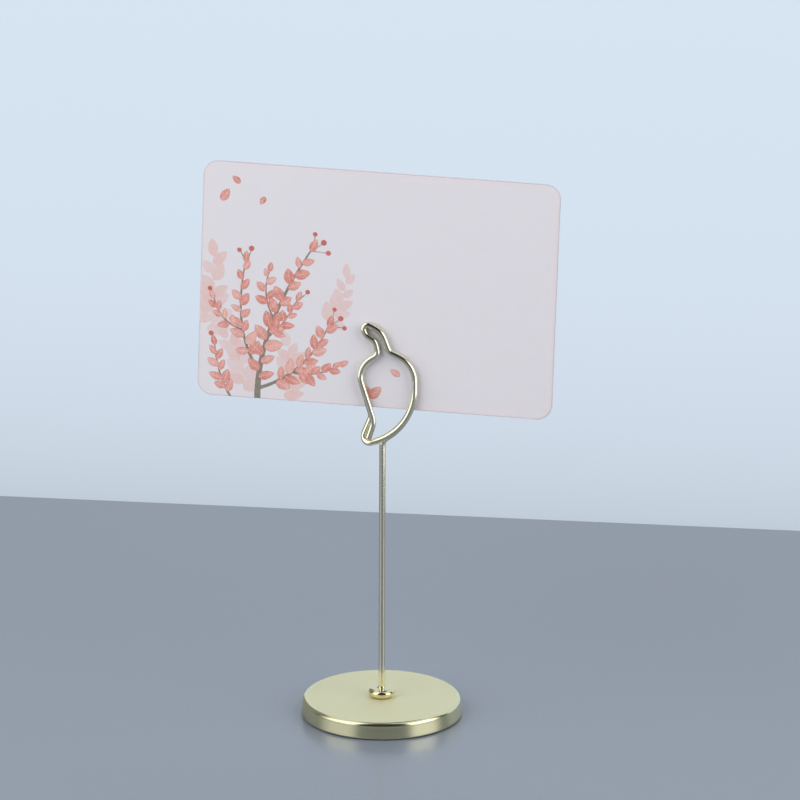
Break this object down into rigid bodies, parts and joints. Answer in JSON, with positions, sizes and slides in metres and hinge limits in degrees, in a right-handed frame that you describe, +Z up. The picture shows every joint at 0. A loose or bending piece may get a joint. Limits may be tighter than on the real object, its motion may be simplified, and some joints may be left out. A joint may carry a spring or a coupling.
{
  "type": "place_card_holder",
  "caption": "Table place card holder: a plated wire clip bent to a chilli pepper's outline on a weighted round base, gripping a tilted card",
  "frame": {"origin": "on the table, at the centre of the base's underside", "axes": "+Z up along the stem, -Y out of the printed front of the card, +X to the right as seen from the front"},
  "size_m": [0.0896, 0.04, 0.1422],
  "materials": {
    "gold_plate": "polished pale champagne-gold electroplate on steel; satin on the top of the base",
    "card_stock": "linen-embossed paper card, printed with pale coral sprigs",
    "cast_iron": "rough cast",
    "zinc_steel": "zinc plated",
    "rubber_pad": "matt non-slip rubber"
  },
  "bodies": {
    "holder": {"clip_stem": "gold_plate", "collar": "gold_plate", "base_cover": "gold_plate", "base_weight": "cast_iron", "stem_washer": "zinc_steel", "stem_nut": "zinc_steel", "base_pad": "rubber_pad"},
    "card": {"place_card": "card_stock"}
  },
  "joints": [
    {"name": "card_slide", "type": "slide", "parent": "holder", "child": "card", "axis": [0.0314, 0, 0.9995], "range_m": [-0.003, 0.024]}
  ]
}
